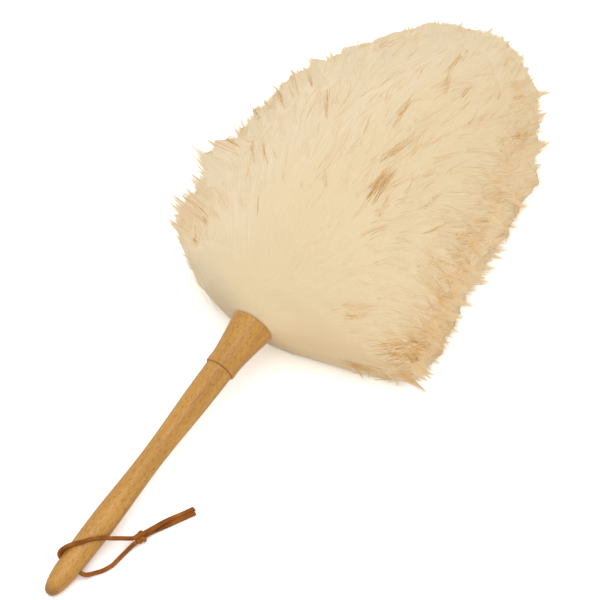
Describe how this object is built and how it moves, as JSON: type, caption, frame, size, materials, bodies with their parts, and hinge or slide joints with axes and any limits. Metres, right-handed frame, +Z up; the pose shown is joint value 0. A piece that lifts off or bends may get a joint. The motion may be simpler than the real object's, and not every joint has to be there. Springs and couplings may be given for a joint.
{
  "type": "lambswool duster",
  "caption": "Duster with a long lambskin pile wound round a wooden core, held in a flared wooden collar on a turned beech handle with a leather hanging thong.",
  "frame": {"origin": "on the floor under the middle of the duster's box as it lies down, without the thong", "axes": "+X from the butt of the handle to the tip of the wool, +Y to the left, +Z up from the floor"},
  "size_m": [0.546, 0.2188, 0.1212],
  "materials": {
    "beech": "oiled, satin",
    "core_wood": "raw",
    "lambskin": "tanned, matte",
    "tack_steel": "bright",
    "wool": "long soft pile, cream with tan tips",
    "thong_leather": "matte, cut edges"
  },
  "bodies": {
    "duster": {"handle": "beech", "collar": "beech", "head_core": "core_wood", "skin_strip": "lambskin", "skin_tip_cap": "lambskin", "strip_tack_collar_end": "tack_steel", "strip_tack_tip_end": "tack_steel", "tip_cap_tack": "tack_steel", "wool_pile": "wool"},
    "thong": {"thong_over_strand": "thong_leather", "thong_side_strand": "thong_leather", "thong_knot": "thong_leather", "thong_tail_long": "thong_leather", "thong_tail_short": "thong_leather"}
  },
  "joints": [
    {"name": "thong_swing", "type": "hinge", "parent": "duster", "child": "thong", "pos_m": [-0.24966, 0.00636, 0.00894], "axis": [0.0535, -0.9397, -0.3378], "range_deg": [0, 100]}
  ]
}
